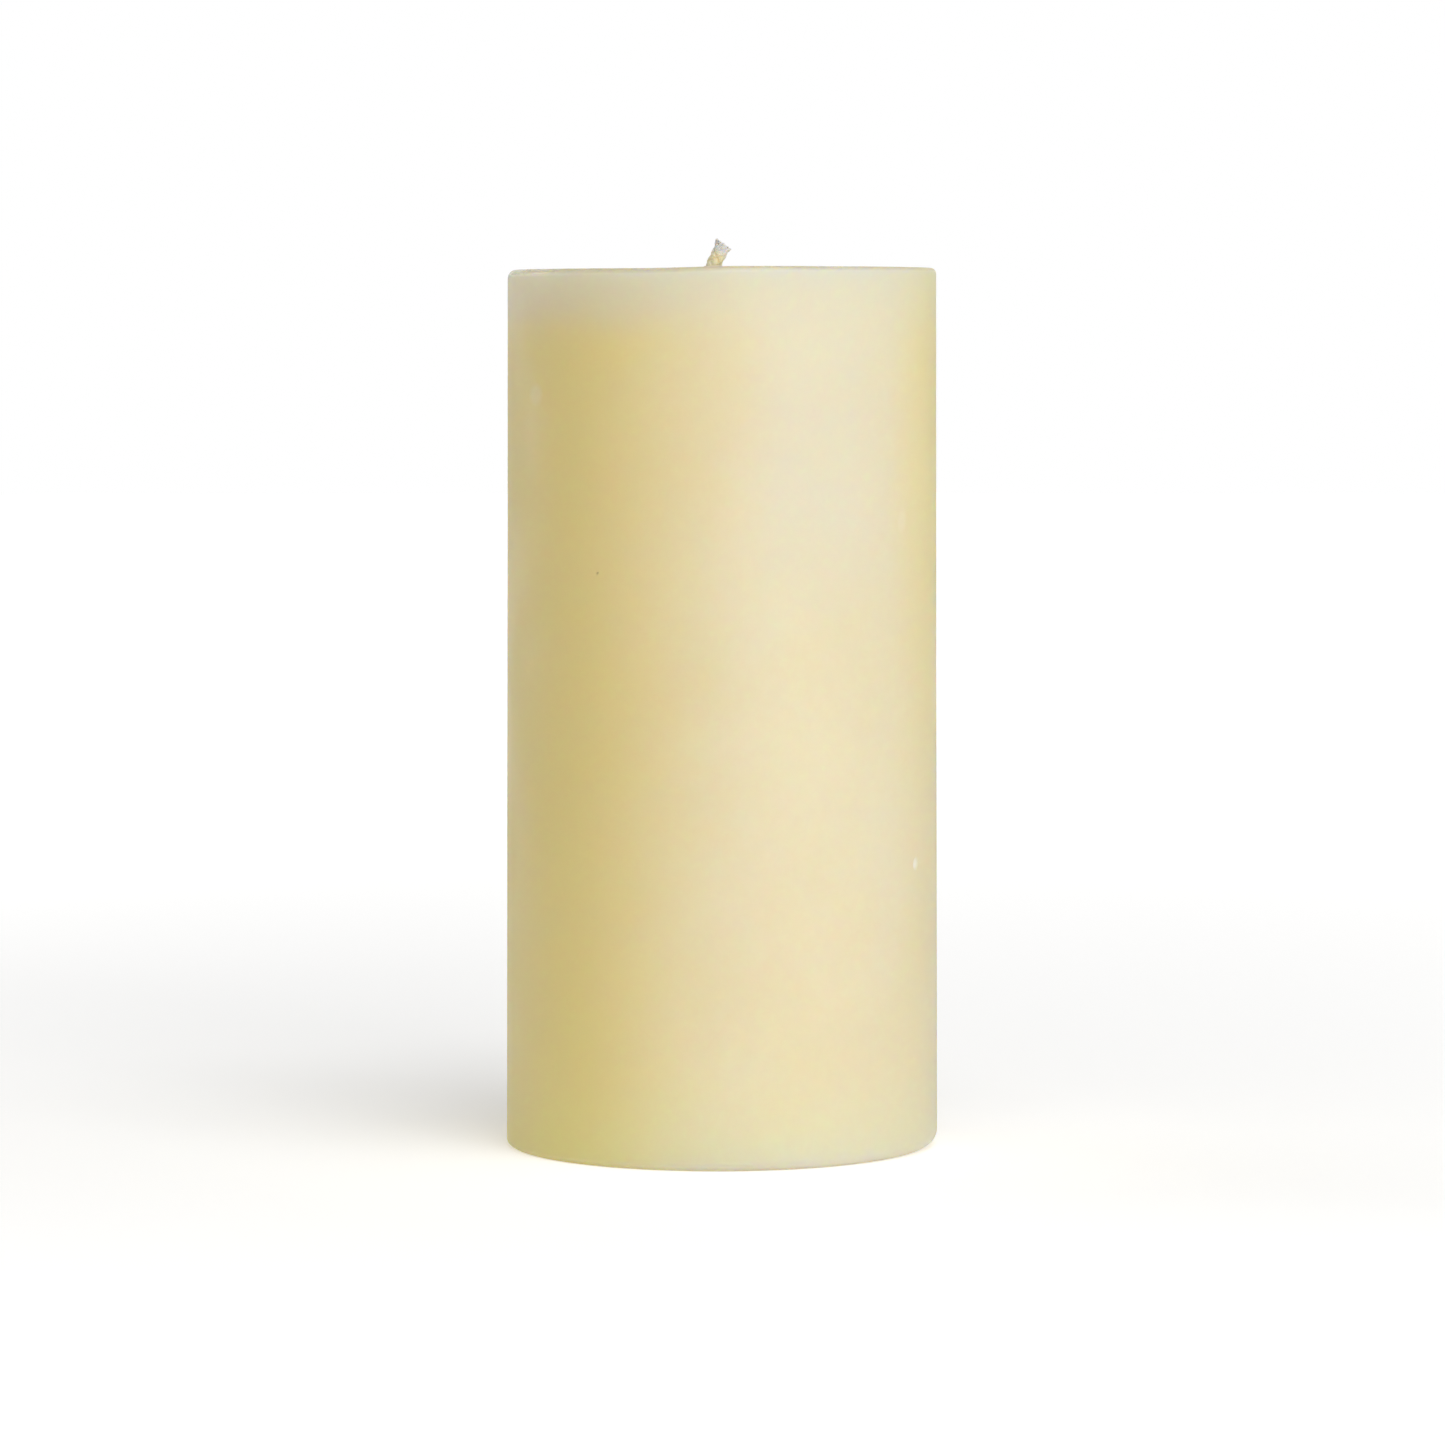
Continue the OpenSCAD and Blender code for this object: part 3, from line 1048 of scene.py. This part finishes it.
def one_fibre(tree, given):
    """A thin hair along Z that bends over and narrows to its end."""
    line_up = add(tree, "GeometryNodeCurvePrimitiveLine",
                  {"Direction": (0, 0, 1), "Length": given["Length"]}, mode="DIRECTION")
    points = add(tree, "GeometryNodeResampleCurve",
                 {"Curve": line_up.outputs[0], "Count": 5}, mode="COUNT")
    along = add(tree, "GeometryNodeSplineParameter").outputs["Factor"]
    bend = times(tree, along, along, given["Length"])
    bent = add(tree, "GeometryNodeSetPosition",
               {"Geometry": points.outputs[0], "Offset": scaled(tree, (0.45, 0.1, 0), bend)})
    width = times(tree, given["Radius"], ranged(tree, along, 0.0, 1.0, 1.0, 0.3))
    thin = add(tree, "GeometryNodeSetCurveRadius", {"Curve": bent.outputs[0], "Radius": 1.0})
    round_profile = add(tree, "GeometryNodeCurvePrimitiveCircle", {"Resolution": 3, "Radius": 1.0})
    hair = add(tree, "GeometryNodeCurveToMesh",
               {"Curve": thin.outputs[0], "Profile Curve": round_profile.outputs[0],
                "Scale": width, "Fill Caps": True})
    return hair.outputs[0]


fray = fray_tree()
surface = put("surface", strands.data.copy())
fibres = grow(surface, fray, "fibres", way=tuple(cut_way), material=dry_fibres)
print("fibres:", len(fibres.data.polygons), "faces")

# %% [markdown]
# ## The rest of the wick
# Inside the wax nothing of the wick shows, so it is a plain cord there. Its foot
# shows again in the collar under the base, and is braided like the other end.


# %% Cord and foot
CORD_R = 1.3 * MM


def plain_cord(low, high):
    """The straight length of wick inside the wax."""
    sides = 24
    turn_by = np.arange(sides) * math.tau / sides
    levels = np.linspace(low, high, 12)
    points = [(WICK_X + CORD_R * math.cos(a), CORD_R * math.sin(a), z)
              for z in levels for a in turn_by]
    shape = bmesh.new()
    verts = [shape.verts.new(p) for p in points]
    for corners in grid_faces(len(levels), sides):
        shape.faces.new([verts[k] for k in corners])
    shape.faces.new(verts[sides - 1::-1])
    shape.faces.new(verts[-sides:])
    mesh = bpy.data.meshes.new("cord")
    mesh.materials.append(cotton)
    shape.to_mesh(mesh)
    shape.free()
    return put("cord", mesh)


FOOT_BRAID = 2.2 * MM
foot_start = WICK_FOOT_Z - WICK_Z
foot_path = path_curve("foot_path", foot_start - PAST_CUT, foot_start + FOOT_BRAID, 40)
foot = grow(foot_path, braid, "foot", start=foot_start - PAST_CUT, step=0.12 * MM, material=cotton)
cut_flat(foot, Vector((WICK_X, 0, WICK_FOOT_Z)), Vector((0, 0, -1)))
cord = plain_cord(WICK_FOOT_Z + 0.1 * MM, WICK_Z - BRAID_SUNK + 0.2 * MM)
for part in (foot, cord):
    store(part, "dry", np.zeros(len(part.data.vertices)))

wick = join([strands, fibres, foot, cord], "braided_wick")
wick.data.shade_smooth()
wick.data.update()
print("wick faces:", len(wick.data.polygons))
print("its right, back and top, mm:", np.round(points_of(wick).max(axis=0) / MM, 2),
      "solid's:", np.round(np.array(wick_high) / MM, 2))

# %% [markdown]
# ## The sustainer
# The stamped disc grips the wick's foot under the base. Its solid already has
# the right shape, so it stays as it is and only gets a tinplate finish: rolled
# metal with fine lines, dulled here and there by a film of wax.

# %% Tinplate material
TIN = (0.62, 0.61, 0.59, 1)
TIN_DULL = (0.47, 0.45, 0.41, 1)


def tinplate_material():
    material, tree, shader, place = new_material("tinplate")
    film = place_group(tree, clouding, Vector=place, Pale=TIN, Warm=TIN_DULL,
                       Cloud_Scale=260.0, Fleck_Scale=2600.0, Fleck_Share=0.2)
    rolled = place_group(tree, uneven_skin, Vector=place, Grain_Scale=2400.0, Smear_Scale=500.0,
                         Smear_Share=0.3, Stretch=(0.06, 1, 1))
    fill(tree, shader, Base_Color=film["Color"],
         Roughness=ranged(tree, film["Mask"], 0.0, 1.0, 0.24, 0.52),
         Metallic=ranged(tree, film["Mask"], 0.0, 1.0, 1.0, 0.8),
         Normal=bumped(tree, rolled["Height"], 0.25, 0.00003))
    return material


tinplate = tinplate_material()
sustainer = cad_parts["wick_sustainer"]
for slot in sustainer.material_slots:
    slot.material = tinplate
print("sustainer slots:", len(sustainer.material_slots))

# %% [markdown]
# ## Floor and lights
# The candle stands on a white floor between large soft lights, as in a studio.
# The key light stands in front and a little to the right, because the brightest
# part of the side is right of the middle. One further right and one behind at
# the left brighten the edges, and one above lights the rim. The floor and the
# surroundings are white to rays that look: from the camera, in reflections and
# through glass. To other rays the surroundings give hardly any light and the
# floor gives the soft glow of a white table, so the candle keeps its shadow.

# %% Floor
FLOOR_R = 4.0
FLOOR_BOUNCE = 0.18
BOUNCE_RGB = (1.0, 0.93, 0.95, 1)
WHITE = (1, 1, 1, 1)


def seen_by_eye(tree):
    """1 for rays that look: from the camera, and in reflections and through glass."""
    rays = add(tree, "ShaderNodeLightPath").outputs
    looks = calc(tree, "MAXIMUM", rays["Is Camera Ray"], rays["Is Glossy Ray"])
    return calc(tree, "MAXIMUM", looks, rays["Is Transmission Ray"])


def floor_material():
    """White to the eye far off. Near the candle it glows less, so that the shadow shows."""
    material, tree, shader, place = new_material("white_floor")
    glow = ranged(tree, combined(tree, "LENGTH", place), 0.1, 1.2, 0.42, 1.0)
    seen = seen_by_eye(tree)
    strength = add(tree, "ShaderNodeMix", {0: seen, 2: FLOOR_BOUNCE, 3: glow}).outputs[0]
    fill(tree, shader, Base_Color=(0.9, 0.9, 0.9, 1), Roughness=0.9, Specular_IOR_Level=0.1,
         Emission_Strength=strength, Emission_Color=mixed(tree, seen, BOUNCE_RGB, WHITE))
    return material


def make_floor():
    shape = bmesh.new()
    bmesh.ops.create_circle(shape, cap_ends=True, radius=FLOOR_R, segments=96)
    mesh = bpy.data.meshes.new("floor")
    shape.to_mesh(mesh)
    shape.free()
    mesh.materials.append(floor_material())
    return put("floor", mesh)


floor = make_floor()
print("floor, m wide:", 2 * FLOOR_R)

# %% Lights
# azimuth from the front to the right and elevation in degrees, distance, width
# and height in metres, power in watts
SOFTBOXES = {
    "key": dict(azimuth=22, power=11.6),
    "side_right": dict(azimuth=45, power=3.5),
    "rim_left": dict(azimuth=-120, power=6.5),
    "top": dict(azimuth=30, power=7.7, elevation=70, distance=1.3, wide=0.8, tall=0.8),
}
AIM = Vector((0, 0, 0.08))
AMBIENT = 0.03
AMBIENT_RGB = (1.0, 0.88, 0.65, 1)


def softbox(name, azimuth, power, elevation=12, distance=1.6, wide=0.9, tall=1.3):
    light = bpy.data.lights.new(name, "AREA")
    light.shape = "RECTANGLE"
    light.size = wide
    light.size_y = tall
    light.energy = power
    lamp = put(name, light)
    turn_by, rise = math.radians(azimuth), math.radians(elevation)
    level = math.cos(rise)
    way = Vector((math.sin(turn_by) * level, -math.cos(turn_by) * level, math.sin(rise)))
    lamp.location = AIM + way * distance
    lamp.rotation_euler = way.to_track_quat("Z", "Y").to_euler()


def make_world():
    world = bpy.data.worlds.new("studio")
    world.use_nodes = True
    tree = world.node_tree
    seen = seen_by_eye(tree)
    fill(tree, tree.nodes["Background"], Strength=ranged(tree, seen, 0.0, 1.0, AMBIENT, 1.0),
         Color=mixed(tree, seen, AMBIENT_RGB, WHITE))
    bpy.context.scene.world = world


for name, values in SOFTBOXES.items():
    softbox(name, **values)
make_world()
bpy.context.scene.view_settings.view_transform = "Standard"
print("lights:", ", ".join(SOFTBOXES))

# %% [markdown]
# ## The pieces on the body
# Each new piece hangs on the candle's body, and the solid that it stands for is
# hidden. The candle is one body.

# %% Pieces on the body
for piece, node, slot_name in ((wax, "wax_body", "wax"), (wick, "wick", "cotton")):
    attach(piece, "root")
    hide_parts(node)
